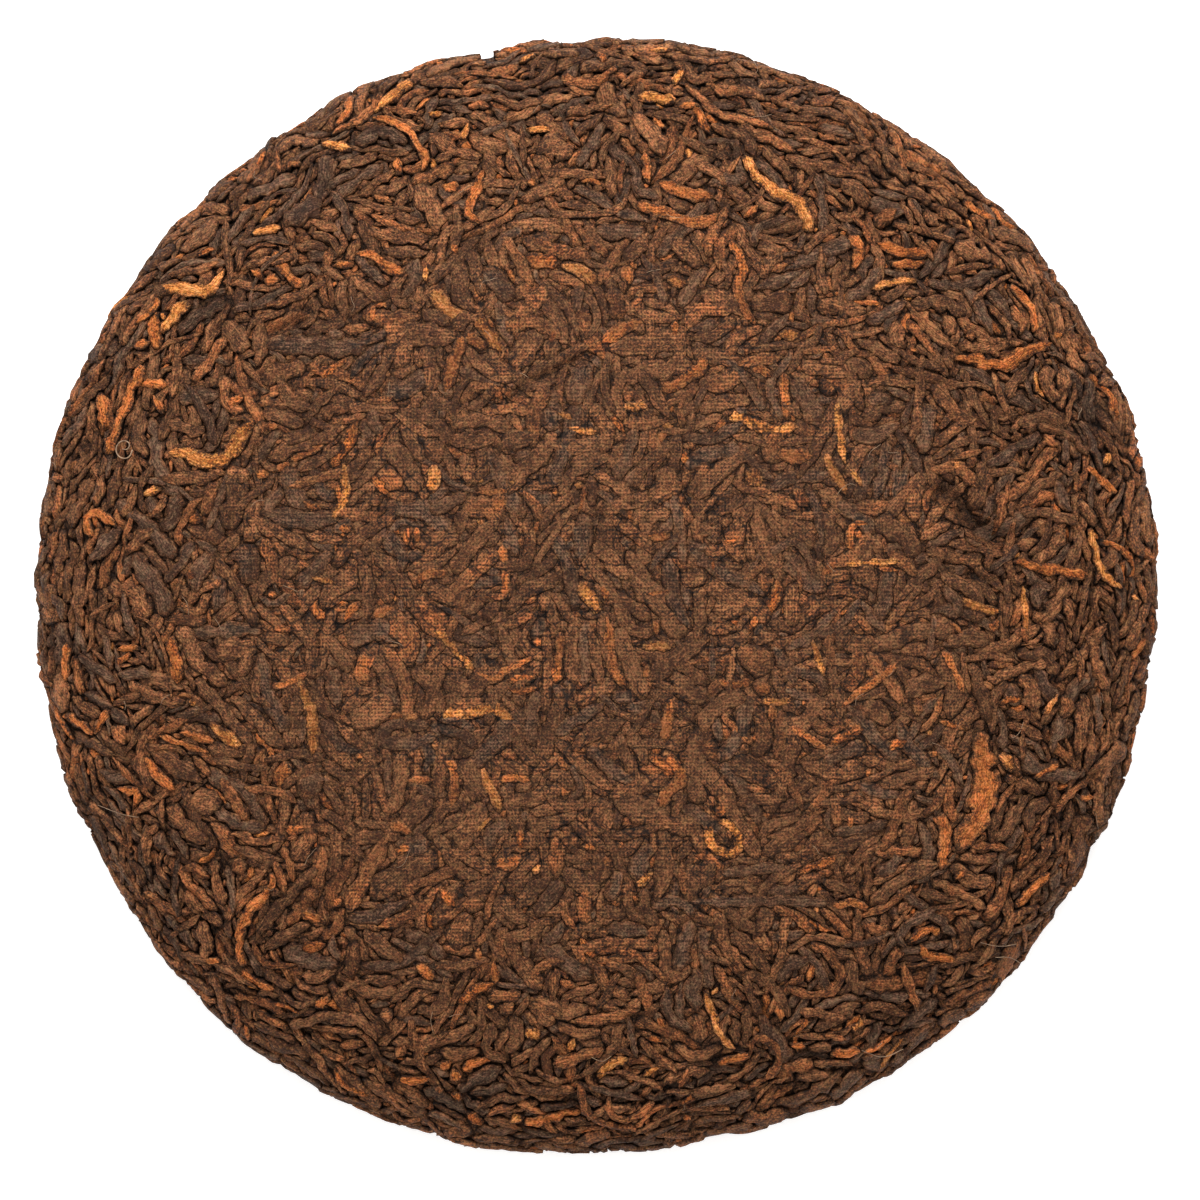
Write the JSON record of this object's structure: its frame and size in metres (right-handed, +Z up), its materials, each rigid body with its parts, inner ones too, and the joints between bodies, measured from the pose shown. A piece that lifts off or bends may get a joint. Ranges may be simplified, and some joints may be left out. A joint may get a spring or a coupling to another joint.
{
  "type": "pu erh tea cake",
  "caption": "Round domed cake of twisted tea leaves pressed flush in a cloth bag, flat underneath with the dimple of the bag's knot; lies on a table and is broken up for brewing.",
  "frame": {"origin": "middle of the flat ring of the underside, on the plane that the cake lies on", "axes": "+Z up through the smooth domed face; +Y towards the top of the face as pictured; X across the cake"},
  "size_m": [0.1996, 0.1991, 0.025],
  "materials": {
    "pressed_tea": "matte",
    "amber_leaves": "matte",
    "golden_buds": "satin"
  },
  "bodies": {
    "root": {"tea_cake": "pressed_tea"}
  },
  "joints": []
}
